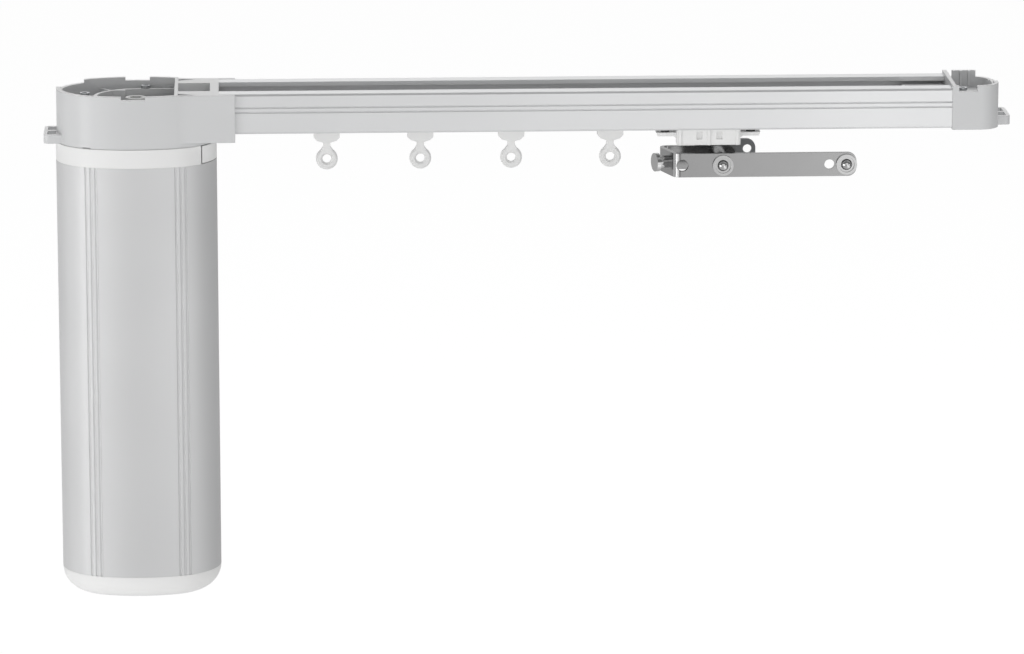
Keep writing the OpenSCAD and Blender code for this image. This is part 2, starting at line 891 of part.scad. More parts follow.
module end_housing() {
    top = end_rim + 1;
    local = idler_x - rail_end;
    color("#c6c8ca")
    translate([rail_end, 0, 0])
    difference() {
        union() {
            translate([0, 0, end_under])
                linear_extrude(end_rim - end_under)
                    end_plan();
            // Tongue that lies in the rail's top channel
            span([-tongue_len, -top_slot_w / 2 - 2, web_top + fit], [1, top_slot_w / 2 + 2, web_top + 1.4]);
            span([-tongue_len, -top_slot_w / 2 + 1, web_top + fit], [1, top_slot_w / 2 - 1, web_top + 2.6]);
            translate([end_len - 0.5, 0, end_under + 0.4])
                ear();
        }
        // Open bowl above the web, pulley chamber below it
        translate([0, 0, web_top])
            linear_extrude(top - web_top)
                difference() {
                    end_plan(end_wall);
                    translate(end_boss)
                        circle(end_boss_r);
                    for (x = end_ribs)
                        translate([x, end_y - end_wall - end_rib.y])
                            square([end_rib.x, end_rib.y + 1]);
                }
        translate([0, 0, end_floor])
            linear_extrude(web_under - end_floor)
                end_plan(end_wall);
        span([-1, -wall_y + rail_wall, end_floor], [end_wall + 1, wall_y - rail_wall, web_under]);
        // Hollow of the tongue
        span([-tongue_len + 1.2, -top_slot_w / 2 + 2.2, web_top + 1.2],
            [0, top_slot_w / 2 - 2.2, web_top + 4]);
        // Castellated rim
        span([end_notch[0], -end_y - 1, end_rim - 2.2], [end_notch[1], -end_y + end_wall + eps, top]);
        span([end_wall, 6, end_low], [end_tab[0], end_y + 1, top]);
        span([end_tab[1], 6, end_low], [end_len + 1, end_y + 1, top]);
        span([end_len - 4, -6, end_low + 0.8], [end_len + 1, 7, top]);
        // Screw hole and axle seats
        translate([end_boss.x, end_boss.y, web_under - 2])
            cylinder(h = bore_len, r = screw_r + fit);
        translate([local, 0, end_floor - 1])
            cylinder(h = bore_len, r = idler_axle_r + fit);
        translate([end_boss.x, end_boss.y, end_boss_top])
            cylinder(h = bore_len, r = end_boss_r + 0.4);
    }
}

module end_screw() {
    color("#8d9094")
    translate([rail_end + end_boss.x, end_boss.y, end_boss_top])
        pan_screw(5);
}

module idler_axle() {
    color("#a6a9ad")
    translate([idler_x, 0, 0]) {
        translate([0, 0, end_floor - 1])
            cylinder(h = web_top - end_floor + 1, r = idler_axle_r);
        translate([0, 0, web_top])
            cylinder(h = 1.2, r = axle_head_r);
    }
}

module idler_pulley() {
    color("#ededeb")
    translate([idler_x, 0, flange_under])
    difference() {
        union() {
            for (z = [0, flange_top - flange_under - flange_t])
                translate([0, 0, z])
                    cylinder(h = flange_t, r = flange_r);
            cylinder(h = flange_top - flange_under, r = barrel_r);
        }
        translate([0, 0, -1])
            cylinder(h = bore_len, r = idler_axle_r + shaft_fit);
        for (a = [0:60:300])
            rotate(a)
                translate([(barrel_r + idler_axle_r) / 2, 0, -1])
                    cylinder(h = bore_len, r = spoke_hole_r);
    }
}

module carrier_body() {
    chassis_top = axle_z + axle_r + 1.4;
    half = block_len / 2;
    back = arm_back + steel_t;
    color("#efefec")
    translate([carrier_x, 0, 0])
    difference() {
        union() {
            // Chassis inside the rail, with the neck through its slot
            span([-chassis_len / 2, -carrier_neck_y, block_top - 1],
                [chassis_len / 2, carrier_neck_y, chassis_top]);
            // Block under the rail, with three upright ribs in front
            span([-half, -block_y, block_under], [half, back, block_top]);
            for (x = [block_rib.x - half, 0, half - block_rib.x])
                span([x - block_rib.x / 2, -block_y - block_rib.y, block_under],
                    [x + block_rib.x / 2, -block_y + block_rib.x, block_top]);
            // Wing plate with sloped ends and a gusset under each wing
            upright(-wing_y, wing_y) {
                polygon([[-wing_len / 2, wing_top], [wing_len / 2, wing_top],
                    [wing_len / 2 - wing_slope, wing_top - wing_t],
                    [wing_slope - wing_len / 2, wing_top - wing_t]]);
                polygon([[-half - gusset, wing_top - wing_t / 2], [half + gusset, wing_top - wing_t / 2],
                    [half - 1, gusset_low], [1 - half, gusset_low]]);
            }
        }
        // Windows of the block's front and the recess of the hanger plate
        for (x = window_x)
            span([x - window.x / 2, -block_y - 1, block_under + window.x],
                [x + window.x / 2, -block_y + window.y, wing_top + 0.6]);
        span([-half - 1, -hanger_front, hanger_top - 1], [half + 1, back + 1, hanger_top + steel_t]);
        // Holes of the axles, the wing screws, the hanger screws and the clamp screws
        for (x = [-axle_x, axle_x])
            translate([x, 0, axle_z])
                rotate([90, 0, 0])
                    cylinder(h = 3 * carrier_neck_y, r = axle_r + fit, center = true);
        for (side = [-1, 1]) {
            translate([side * wing_screw.x, wing_screw.y, wing_top - wing_t - over])
                cylinder(h = wing_t + 2 * over, r = screw_r + fit);
            translate([side * hanger_screw.x, hanger_screw.y, hanger_top - 1])
                cylinder(h = hanger_bore, r = screw_r + fit);
            translate([side * clamp_screw.x, 0, clamp_screw.y])
                rotate([90, 0, 0])
                    cylinder(h = 3 * carrier_neck_y, r = clamp_screw_r + fit, center = true);
        }
    }
}

module wheel_axles() {
    reach = wheel_in + wheel_w + run_gap;
    color("#a6a9ad")
    for (x = [-axle_x, axle_x])
        translate([carrier_x + x, 0, axle_z])
            rotate([90, 0, 0]) {
                cylinder(h = 2 * reach, r = axle_r, center = true);
                for (side = [-1, 1])
                    translate([0, 0, side * (reach + 0.2)])
                        cylinder(h = 0.5, r = axle_r + 0.6, center = true);
            }
}

module wheel(x, side) {
    color("#55585b")
    translate([carrier_x + x, side * (wheel_in + wheel_w / 2), axle_z])
        rotate([90, 0, 0])
            difference() {
                cylinder(h = wheel_w, r = wheel_r, center = true);
                cylinder(h = wheel_w + 1, r = axle_r + shaft_fit, center = true);
                for (z = [-1, 1])
                    translate([0, 0, z * wheel_w / 2])
                        difference() {
                            cylinder(h = 0.8, r = wheel_r - 0.6, center = true);
                            cylinder(h = 2, r = axle_r + 0.5, center = true);
                        }
            }
}

module wheel_1() {
    wheel(-axle_x, -1);
}

module wheel_2() {
    wheel(axle_x, -1);
}

module wheel_3() {
    wheel(-axle_x, 1);
}

module wheel_4() {
    wheel(axle_x, 1);
}

module belt_clamp() {
    half = clamp_len / 2;
    inner = belt_in - tooth_d - clamp_gap;
    outer = belt_out + clamp_gap;
    low = belt_under + clamp_gap;
    roof = belt_top + clamp_gap;
    color("#3a3c3f")
    translate([carrier_x, 0, 0])
    difference() {
        union() {
            span([-half, -inner, low], [half, -carrier_neck_y, belt_top - clamp_gap]);
            span([-half, -inner, low], [half, -inner + clamp_jaw, roof + clamp_bridge]);
            span([-half, -outer - clamp_jaw, roof], [half, -inner + clamp_jaw, roof + clamp_bridge]);
            span([-half, -outer - clamp_jaw, low], [half, -outer, roof + eps]);
        }
        for (side = [-1, 1])
            translate([side * clamp_screw.x, 0, clamp_screw.y])
                rotate([90, 0, 0])
                    cylinder(h = 2 * inner - 1, r = clamp_screw_r + fit, center = true);
    }
}

module clamp_screws() {
    color("#8d9094")
    for (side = [-1, 1])
        translate([carrier_x + side * clamp_screw.x, carrier_neck_y, clamp_screw.y])
            rotate([90, 0, 180]) {
                translate([0, 0, -7])
                    cylinder(h = 7, r = clamp_screw_r);
                cylinder(h = 0.7, r = 2 * clamp_screw_r);
            }
}

module wing_screws() {
    color("#2c2d2f")
    for (side = [-1, 1])
        translate([carrier_x + side * wing_screw.x, wing_screw.y, wing_top])
            pan_screw(wing_t - 0.2, head_r = 1.7);
}

module hanger_plate() {
    back = arm_back + steel_t;
    low = arm_top - arm_h;
    side_x = block_len / 2 - 1;
    lug_mid = [lug_x - 0.4, hanger_top - 4.4];
    color("#7c7f83")
    translate([carrier_x, 0, 0])
    difference() {
        union() {
            span([-side_x, fit - hanger_front, hanger_top], [side_x, back, hanger_top + steel_t - fit]);
            upright(arm_back, back) {
                polygon([[hanger_left, low + 1], [side_x + 1, low + 1],
                    [lug_mid.x + lug_r, arm_top - 5.6], [lug_mid.x + lug_r, lug_mid.y],
                    [lug_mid.x, lug_mid.y + lug_r], [side_x, lug_mid.y + lug_r],
                    [side_x, hanger_top + eps], [hanger_left, hanger_top + eps]]);
                translate(lug_mid)
                    circle(lug_r);
            }
        }
        translate([lug_x, 0, hanger_top - 4.8])
            rotate([-90, 0, 0])
                cylinder(h = bore_len, r = lug_hole_r);
        translate([bolt_x, 0, arm_mid])
            rotate([-90, 0, 0])
                cylinder(h = bore_len, r = bolt_r + fit);
        for (side = [-1, 1])
            translate([side * hanger_screw.x, hanger_screw.y, hanger_top - 1])
                cylinder(h = hanger_bore, r = screw_r + fit);
    }
}

module hanger_screws() {
    color("#8d9094")
    for (side = [-1, 1])
        translate([carrier_x + side * hanger_screw.x, hanger_screw.y, hanger_top])
            rotate([180, 0, 0])
                pan_screw(3.6);
}

// Plan of the bent steel strip: long leg in front, slanted side, short leg behind
arm_path = bent([[arm_reach, arm_front + steel_t / 2], [arm_left, arm_front + steel_t / 2],
    [arm_back_left, arm_back - steel_t / 2], [arm_back_right, arm_back - steel_t / 2]], arm_bend);

// What is cut away to round an end corner of the strip, above or below
module strip_corner(x, side) {
    r = arm_corner;
    translate([x - r, arm_mid + side * (arm_h / 2 - r)])
        mirror([0, side < 0 ? 1 : 0])
            difference() {
                square(r + 1);
                circle(r);
            }
}

module arm_bracket() {
    color("#b4b7ba")
    translate([carrier_x, 0, 0])
    difference() {
        translate([0, 0, arm_top - arm_h])
            linear_extrude(arm_h)
                polygon(strip(arm_path, steel_t));
        upright(arm_front - 1, arm_front + steel_t + 1) {
            strip_corner(arm_reach, 1);
            strip_corner(arm_reach, -1);
        }
        upright(arm_back - steel_t - 1, arm_back + 1)
            strip_corner(arm_back_right, 1);
        // Two open holes, and the holes of the bolt and the studs
        translate([near_hole_x, arm_front - 1, arm_mid])
            rotate([-90, 0, 0])
                cylinder(h = steel_t + 2, r = near_hole_r);
        translate([tip_hole_x, arm_front - 1, arm_mid])
            rotate([-90, 0, 0])
                cylinder(h = steel_t + 2, r = tip_hole_r);
        translate([tip_stud_x, arm_front - 1, arm_mid])
            rotate([-90, 0, 0])
                cylinder(h = steel_t + 2, r = bolt_r + fit);
        translate([bolt_x, arm_front - 1, arm_mid])
            rotate([-90, 0, 0])
                cylinder(h = arm_back - arm_front + 2, r = bolt_r + fit);
        side_place()
            translate([0, 0, -3])
                cylinder(h = 6, r = bolt_r + fit);
    }
}

// Middle of the slanted side, with +Z pointing out of its outer face
module side_place() {
    a = [arm_left, arm_front + steel_t / 2];
    b = [arm_back_left, arm_back - steel_t / 2];
    mid = (a + b) / 2;
    along = unit(b - a);
    translate([mid.x, mid.y, arm_mid])
        rotate(180 + atan2(-along.x, along.y))
            rotate([0, 90, 0])
                children();
}

// A domed stud in a cup washer, drawn along +Z from its seat, with a shank below
module domed_stud(shank) {
    translate([0, 0, -shank])
        cylinder(h = shank + eps, r = bolt_r);
    difference() {
        cylinder(h = cup_h, r = cup_r);
        translate([0, 0, cup_floor])
            cylinder(h = cup_h, r = cup_in);
    }
    translate([0, 0, cup_floor - eps])
        rotate_extrude()
            intersection() {
                translate([0, dome_h - dome_r])
                    circle(dome_r);
                square(dome_r);
            }
}

module arm_bolt() {
    color("#c3c6c9")
    translate([carrier_x + bolt_x, arm_front, arm_mid])
        rotate([90, 0, 0])
            domed_stud(arm_back - arm_front + steel_t + 3);
}

module arm_spacer() {
    color("#a6a9ad")
    translate([carrier_x + bolt_x, arm_back - steel_t, arm_mid])
        rotate([90, 0, 0])
            difference() {
                cylinder(h = arm_back - arm_front - 2 * steel_t, r = spacer_r);
                translate([0, 0, -1])
                    cylinder(h = bore_len, r = bolt_r + fit);
            }
}

module arm_nut() {
    color("#a6a9ad")
    translate([carrier_x + bolt_x, arm_back + steel_t, arm_mid])
        rotate([-90, 0, 0])
            difference() {
                cylinder(h = nut_h, r = nut_r, $fn = 6);
                translate([0, 0, -1])
                    cylinder(h = bore_len, r = bolt_r + fit);
            }
}

module tip_stud() {
    color("#c3c6c9")
    translate([carrier_x + tip_stud_x, arm_front, arm_mid])
        rotate([90, 0, 0]) {
            domed_stud(steel_t);
            translate([0, 0, -steel_t - rivet_h])
                cylinder(h = rivet_h, r = rivet_r);
        }
}

module side_stud() {
    color("#c3c6c9")
    translate([carrier_x, 0, 0])
        side_place()
            translate([0, 0, steel_t / 2]) {
                translate([0, 0, -steel_t])
                    cylinder(h = steel_t + eps, r = bolt_r);
                cylinder(h = knob_neck.y, r = knob_neck.x);
                translate([0, 0, knob_neck.y - eps])
                    cylinder(h = knob_head.y, r = knob_head.x);
                translate([0, 0, -steel_t - rivet_h])
                    cylinder(h = rivet_h, r = rivet_r);
            }
}

// A glider: wings on the bottom lips, a low head under the slot, a flared stem and an eye
module glider(x) {
    shoe_y = glide_slot_w / 2 + 2.8;
    shoe_z = floor_z + run_gap;
    shoe_t = 1.6;
    neck_y = glide_slot_w / 2 - run_gap - 0.2;
    neck_in = 1.5;
    head_top = -rail_h - 0.6;
    head_side = -rail_h - 4.3;
    head_cut = 1.3;
    head_low = head_side - head_cut;
    stem_w = 2.8;
    stem_top = head_low - 0.7;
    eye_z = -rail_h - 13;
    eye_t = 2.4;
    eye_r = eye_d / 2;
    hole_r = eye_hole_d / 2;
    bevel = 0.6;
    flare_w = 4.8;
    flare_low = eye_z + sqrt(pow(eye_r, 2) - pow(flare_w / 2, 2)) - 0.2;
    half = glider_w / 2;
    color("#f1f1ef")
    translate([x, 0, 0]) {
        span([-half, -shoe_y, shoe_z], [half, shoe_y, shoe_z + shoe_t]);
        span([neck_in - half, -neck_y, head_top - eps], [half - neck_in, neck_y, shoe_z + eps]);
        upright(-neck_y, neck_y)
            polygon([[-half, head_top], [half, head_top], [half, head_side], [half - head_cut, head_low],
                [stem_w / 2, stem_top], [-stem_w / 2, stem_top], [head_cut - half, head_low],
                [-half, head_side]]);
        upright(-eye_t / 2, eye_t / 2)
            polygon([[-stem_w / 2, head_low], [stem_w / 2, head_low], [stem_w / 2, eye_z + eye_r + bevel],
                [flare_w / 2, flare_low], [-flare_w / 2, flare_low], [-stem_w / 2, eye_z + eye_r + bevel]]);
        translate([0, 0, eye_z])
            rotate([90, 0, 0])
                rotate_extrude()
                    polygon([[hole_r, bevel - eye_t / 2], [hole_r + bevel, -eye_t / 2],
                        [eye_r - bevel, -eye_t / 2], [eye_r, bevel - eye_t / 2],
                        [eye_r, eye_t / 2 - bevel], [eye_r - bevel, eye_t / 2],
                        [hole_r + bevel, eye_t / 2], [hole_r, eye_t / 2 - bevel]]);
    }
}

module glider_1() {
    glider(glider_x[0]);
}

module glider_2() {
    glider(glider_x[1]);
}

module glider_3() {
    glider(glider_x[2]);
}

module glider_4() {
    glider(glider_x[3]);
}

track_rail();
drive_housing();
housing_base();
housing_screws();
drive_bearing();
motor_collar();
motor_latch();
motor_tube();
gearbox_case();
motor_can();
control_board();
board_carrier();
bottom_cap();
power_inlet();
inlet_pins();
output_shaft();
drive_pulley();
toothed_belt();
end_housing();
end_screw();
idler_axle();
idler_pulley();
carrier_body();
wheel_axles();
wheel_1();
wheel_2();
wheel_3();
wheel_4();
belt_clamp();
clamp_screws();
wing_screws();
hanger_plate();
hanger_screws();
arm_bracket();
arm_bolt();
arm_spacer();
arm_nut();
tip_stud();
side_stud();
glider_1();
glider_2();
glider_3();
glider_4();
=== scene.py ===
# %% [markdown]
# # Electric curtain track
# A short display length of motorised curtain track. An aluminium rail carries a
# belt-driven carrier with a bent steel arm and four white gliders. A grey moulded
# housing closes each end, and an oval tube motor hangs under the left one.
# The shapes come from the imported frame. This script gives them their finishes,
# smooths the motor's domed cap and sets up the studio.

# %% Load the frame
import json
import math

import bpy
import numpy as np
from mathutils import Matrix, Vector


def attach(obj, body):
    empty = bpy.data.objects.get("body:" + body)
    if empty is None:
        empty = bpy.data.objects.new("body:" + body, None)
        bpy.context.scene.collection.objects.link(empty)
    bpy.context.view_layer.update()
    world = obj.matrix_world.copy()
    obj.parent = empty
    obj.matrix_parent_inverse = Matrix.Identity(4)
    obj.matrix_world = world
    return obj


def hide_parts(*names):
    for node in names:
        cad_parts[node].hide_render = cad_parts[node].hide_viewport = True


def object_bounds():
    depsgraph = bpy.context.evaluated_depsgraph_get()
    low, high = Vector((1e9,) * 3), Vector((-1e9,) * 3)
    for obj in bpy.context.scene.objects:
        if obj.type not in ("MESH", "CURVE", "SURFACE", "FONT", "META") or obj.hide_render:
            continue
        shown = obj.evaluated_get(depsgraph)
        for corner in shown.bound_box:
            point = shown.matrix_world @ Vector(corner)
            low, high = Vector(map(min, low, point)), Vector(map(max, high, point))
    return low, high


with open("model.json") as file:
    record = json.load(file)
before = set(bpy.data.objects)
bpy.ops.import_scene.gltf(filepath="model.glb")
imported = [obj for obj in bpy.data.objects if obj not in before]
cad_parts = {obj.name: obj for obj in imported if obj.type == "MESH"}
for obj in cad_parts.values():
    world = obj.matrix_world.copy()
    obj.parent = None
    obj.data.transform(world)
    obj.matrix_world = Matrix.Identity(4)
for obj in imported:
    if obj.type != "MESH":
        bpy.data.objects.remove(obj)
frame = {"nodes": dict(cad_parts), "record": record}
cad_box = [list(corner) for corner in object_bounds()]
nodes = frame["nodes"]
scene = bpy.context.scene
MM = 0.001

# %% [markdown]
# ## Shader maths as Python
# A finish is a small formula: a noise here, a blend there. It could be clicked together
# in the node editor, but a formula is easier to read and to change. Wrapping a socket in
# a class with operators lets it be written as one. Every operator adds one Math node,
# and one method makes any other node.


# %% A socket with operators
class Val:
    """A shader socket that takes part in Python arithmetic."""

    def __init__(self, shader, socket):
        self.shader, self.socket = shader, socket

    def math(self, operation, a, b):
        return self.shader.node("ShaderNodeMath", {"operation": operation}, {0: a, 1: b})

    def __add__(self, other):
        return self.math("ADD", self, other)

    def __sub__(self, other):
        return self.math("SUBTRACT", self, other)

    def __rsub__(self, other):
        return self.math("SUBTRACT", other, self)

    def __mul__(self, other):
        return self.math("MULTIPLY", self, other)

    __radd__, __rmul__ = __add__, __mul__


print("a socket can be added, subtracted and multiplied")


# %% A node tree that grows by expressions
class Shader:
    """A node tree. node() adds any node to it: its kind, its settings, its inputs."""

    def __init__(self, tree):
        self.tree = tree
        self.tree.nodes.clear()

    def node(self, kind, settings=None, inputs=None, output=0):
        made = self.tree.nodes.new(kind)
        for key, value in (settings or {}).items():
            setattr(made, key, value)
        for key, value in (inputs or {}).items():
            if isinstance(value, Val):
                self.tree.links.new(value.socket, made.inputs[key])
            else:
                made.inputs[key].default_value = value
        return Val(self, made.outputs[output]) if len(made.outputs) else None

    def ramp(self, value, low, high):
        """Value between low and high, stretched to 0 to 1 and clamped."""
        ends = {"From Min": low, "From Max": high}
        return self.node("ShaderNodeMapRange", inputs={"Value": value, **ends})

    def axis(self, vector, name):
        """One coordinate of a vector: X, Y or Z."""
        return self.node("ShaderNodeSeparateXYZ", inputs={0: vector}, output=name)

    def ray(self, kind):
        """1 for the rays of one kind, such as Camera or Glossy, and 0 for all others."""
        return self.node("ShaderNodeLightPath", output=f"Is {kind} Ray")


class Finish(Shader):
    """One procedural material, laid out on Object coordinates."""

    MIX_A, MIX_B, MIX_RESULT = 6, 7, 2  # the colour sockets of a Mix node
    RELIEF = 0.02 * MM  # depth of a relief of strength 1
    EDGE_SAMPLES = 4

    def __init__(self, name):
        self.material = bpy.data.materials.new(name)
        self.material.use_nodes = True
        super().__init__(self.material.node_tree)
        self.place = self.node("ShaderNodeTexCoord", output="Object")

    def noise(self, scale, detail, where=None):
        """Noise from 0 to 1. scale is in cells per metre."""
        look = {"Vector": where or self.place, "Scale": scale, "Detail": detail}
        return self.node("ShaderNodeTexNoise", inputs=look)

    def streaks(self, across, along, axis, detail):
        """Noise of across cells per metre, drawn out to along cells per metre on one axis."""
        scale = [across] * 3
        scale[axis] = along
        stretch = {"Vector": self.place, "Scale": tuple(scale)}
        return self.noise(1.0, detail, self.node("ShaderNodeMapping", inputs=stretch))

    def blend(self, factor, a, b):
        """Colour a where factor is 0, colour b where it is 1."""
        a, b = [(*colour, 1.0) if isinstance(colour, tuple) else colour for colour in (a, b)]
        colours = {"Factor": factor, self.MIX_A: a, self.MIX_B: b}
        return self.node("ShaderNodeMix", {"data_type": "RGBA"}, colours, self.MIX_RESULT)

    def relief(self, height, strength, edge):
        """Surface relief, over edges that are rounded by the radius edge."""
        soft = self.node("ShaderNodeBevel", {"samples": self.EDGE_SAMPLES}, {"Radius": edge})
        bump = {"Height": height, "Strength": strength, "Distance": self.RELIEF, "Normal": soft}
        return self.node("ShaderNodeBump", inputs=bump)

    def surface(self, **inputs):
        """Ends the formula in a Principled shader. Names are its sockets, with _ for spaces."""
        named = {key.replace("_", " "): value for key, value in inputs.items()}
        shader = self.node("ShaderNodeBsdfPrincipled", inputs=named)
        self.node("ShaderNodeOutputMaterial", inputs={"Surface": shader})
        return self.material


finishes = {}
print("finishes so far:", len(finishes))

# %% [markdown]
# ## Satin extrusions
# The rail and the motor tube are anodised aluminium, extruded through a die. The die
# leaves faint lines along their length. A picture of such lines would need a UV map, so
# a noise is drawn out along the extrusion instead: X on the rail, Z on the tube.

# %% Anodised aluminium
X, Y, Z = 0, 1, 2
CLOUD = (0.3, 0.7)  # the levels of a noise between which a slow cloud swings
DIE_ACROSS, DIE_ALONG = 2400.0, 6.0  # cells per metre
ANODISED_CLOUDS = 14.0  # cells per metre
DARKER = 0.94
LINE_ROUGH, TINT_GLOSS = 0.08, 0.03


def anodised(name, colour, along, rough, metal):
    """Satin metal: die lines 400 times longer than wide, under slow clouds of tint."""
    f = Finish(name)
    lines = f.streaks(DIE_ACROSS, DIE_ALONG, along, detail=3.0)
    tint = f.ramp(f.noise(ANODISED_CLOUDS, detail=2.0), *CLOUD)
    darker = tuple(DARKER * c for c in colour)
    return f.surface(
        Base_Color=f.blend(tint, darker, colour),
        Metallic=metal,
        Roughness=rough + LINE_ROUGH * lines - TINT_GLOSS * tint,
        Normal=f.relief(lines, strength=0.06, edge=0.2 * MM),
    )


extrusions = {
    "rail_aluminium": anodised("rail anodised", (0.72, 0.725, 0.73), X, rough=0.36, metal=0.55),
    "tube_aluminium": anodised("tube anodised", (0.66, 0.662, 0.666), Z, rough=0.46, metal=0.3),
}
finishes.update(extrusions)
print("anodised:", len(extrusions))

# %% [markdown]
# ## Moulded plastics
# The housings are grey plastic from a spark-eroded mould, which gives them a fine grain.
# The collar, the cap, the carrier and the gliders are smoother and whiter. The grain is
# far too small for a mesh, so it is a noise in the bump. On the two housings every face
# that looks straight up is painted paler, a painted highlight for the light that falls on
# the rims from above. A face attribute says which faces those are.

# %% Plastics
GRAINS = 3800.0  # cells per metre
MOULDED_CLOUDS = 30.0  # cells per metre
PALER = 1.03
CLOUD_ROUGH, GRAIN_ROUGH = 0.05, 0.04
# Painted highlight: faces that look straight up are blended towards this pale grey, and a face
# attribute of this name marks them
PAINTED_TOP_COLOUR = (0.95, 0.95, 0.95)
PAINTED_TOP_ATTRIBUTE = "rim"


def moulded(name, colour, rough, grain, rims=0.0):
    """Plastic: small grains in the bump, slow clouds in tint and gloss, and a painted highlight
    that blends faces looking up to pale.
    """
    f = Finish(name)
    fine = f.noise(GRAINS, detail=3.0)
    cloud = f.ramp(f.noise(MOULDED_CLOUDS, detail=2.0), *CLOUD)
    paler = tuple(min(1.0, PALER * c) for c in colour)
    # Painted highlight: the marked faces that look up are blended pale by the given share
    painted_top_mask = f.node("ShaderNodeAttribute", {"attribute_name": PAINTED_TOP_ATTRIBUTE}, output="Fac")
    return f.surface(
        Base_Color=f.blend(painted_top_mask * rims, f.blend(cloud, colour, paler), PAINTED_TOP_COLOUR),
        Roughness=rough + CLOUD_ROUGH * cloud + GRAIN_ROUGH * fine,
        Normal=f.relief(fine, grain, edge=0.25 * MM),
    )


plastics = {
    # Only the grey housings get the painted highlight on faces that look up
    "housing_plastic": moulded("housing grey", (0.675, 0.68, 0.685), 0.33, grain=0.10, rims=0.9),
    "white_plastic": moulded("motor white", (0.88, 0.88, 0.875), 0.42, grain=0.05),
    "carrier_nylon": moulded("carrier white", (0.84, 0.84, 0.835), 0.4, grain=0.06),
    "glider_nylon": moulded("glider white", (0.77, 0.77, 0.765), 0.38, grain=0.05),
    "pulley_acetal": moulded("pulley white", (0.70, 0.70, 0.69), 0.36, grain=0.05),
    "wheel_plastic": moulded("wheel grey", (0.12, 0.125, 0.13), 0.45, grain=0.06),
    "black_plastic": moulded("black plastic", (0.022, 0.022, 0.024), 0.45, grain=0.10),
    "black_screw": moulded("black screw", (0.02, 0.02, 0.02), 0.4, grain=0.1),
    "board": moulded("board green", (0.02, 0.09, 0.04), 0.4, grain=0.05),
    "belt_rubber": moulded("belt rubber", (0.018, 0.018, 0.019), 0.7, grain=0.25),
}
finishes.update(plastics)
print("moulded:", len(plastics))

# %% [markdown]
# ## Steels and brass
# The arm is a bent strip of rolled steel, and shafts, screws and pins are turned. Both
# ways of working leave fine lines, along the strip or along the axle. They are drawn out
# like the die lines, only shorter, and a few duller patches show that parts get handled.

# %% Steels
BRUSH_ACROSS, BRUSH_ALONG = 3200.0, 90.0  # cells per metre
PATCHES = 260.0  # cells per metre
PATCH = (0.52, 0.7)  # the levels of the noise between which a patch begins
HANDLED = 0.1
BRUSH_ROUGH = 0.14
PATCH_TINT, PATCH_SHADE = 4, 2  # how much of a patch shows, and how dark it is, for each wear


def steel(name, colour, rough, along, wear=HANDLED):
    """Metal: brushed lines along one axis, and patches that are duller and darker by wear."""
    f = Finish(name)
    brushed = f.streaks(BRUSH_ACROSS, BRUSH_ALONG, along, detail=4.0)
    dull = f.ramp(f.noise(PATCHES, detail=3.0), *PATCH)
    darker = tuple((1 - PATCH_SHADE * wear) * c for c in colour)
    return f.surface(
        Base_Color=f.blend(dull * (PATCH_TINT * wear), colour, darker),
        Metallic=1.0,
        Roughness=rough + BRUSH_ROUGH * brushed + wear * dull,
        Normal=f.relief(brushed, strength=0.08, edge=0.12 * MM),
    )


metals = {
    "arm_steel": steel("arm steel", (0.30, 0.30, 0.30), 0.1, X, wear=0.03),
    "plain_steel": steel("turned steel", (0.64, 0.645, 0.65), 0.1, Z, wear=0.05),
    "dark_steel": steel("hanger steel", (0.22, 0.225, 0.23), 0.36, X),
    "screw_steel": steel("screw steel", (0.40, 0.41, 0.42), 0.3, Z),
    "motor_steel": steel("motor steel", (0.30, 0.31, 0.32), 0.36, Z),
    "pin_brass": steel("pin brass", (0.62, 0.45, 0.16), 0.22, Z),
}
finishes.update(metals)
print("metals:", len(metals))

# %% [markdown]
# ## Dressing the nodes
# The record gives each node a material slot, so one loop dresses all of them. The studs
# have the arm's slot, but on the real object they are polished and the arm is satin. So
# they get a smoother finish of their own in the same slot. The painted highlight on the
# upward faces of the housings could have a second material, but a mark on their faces
# keeps each housing in one piece.

# %% The finish of each slot in the record
slot_of = {part["node"]: part["material_slot"] for part in frame["record"]["subparts"]}
for name, node in nodes.items():
    node.data.materials.clear()
    node.data.materials.append(finishes[slot_of[name]])
print("nodes dressed:", len(nodes), "finishes:", len(finishes))

# %% Polished studs on the satin arm
polished = steel("polished stud", (0.42, 0.42, 0.42), 0.05, Y, wear=0.02)
studs = ["arm_bolt", "tip_stud", "side_stud"]
for name in studs:
    nodes[name].data.materials[0] = polished
print("polished:", len(studs))


# %% Painted highlight on the faces of the grey housings that look up
def mark_rims(mesh, upright=0.95):
    """Marks each face for the painted highlight: 1 where the face looks straight up, 0 elsewhere.
    """
    normals = np.zeros(3 * len(mesh.polygons))
    mesh.polygons.foreach_get("normal", normals)
    rim = (normals[Z::3] > upright).astype(float)
    mesh.attributes.new(PAINTED_TOP_ATTRIBUTE, "FLOAT", "FACE").data.foreach_set("value", rim)
    return int(rim.sum())


for name in ("drive_housing", "end_housing"):
    print(name, "rim faces:", mark_rims(nodes[name].data))

# %% [markdown]
# ## The domed cap
# A white cap closes the motor tube at the bottom. The frame holds its dome as facets.
# A Subdivision Surface would round the facets but also the socket's edges, so the dome
# is one smooth surface here: a stack of closed rings, each the motor's oval at its own
# inset and height. The stack runs down the dome, across the flat bottom, up through the
# socket's opening and round the collar that sits in the tube, and so closes on itself.

# %% Rings of the motor's oval, in millimetres
MOTOR_W, MOTOR_D, CROWN = 62.0, 46.0, 1.5
SIDE_R = MOTOR_D / 2 - CROWN
SIDE_X = MOTOR_W / 2 - SIDE_R
FLAT_Y = (SIDE_X**2 - CROWN**2) / (2 * CROWN)
FLAT_R = FLAT_Y + MOTOR_D / 2
ARC_POINTS = 40


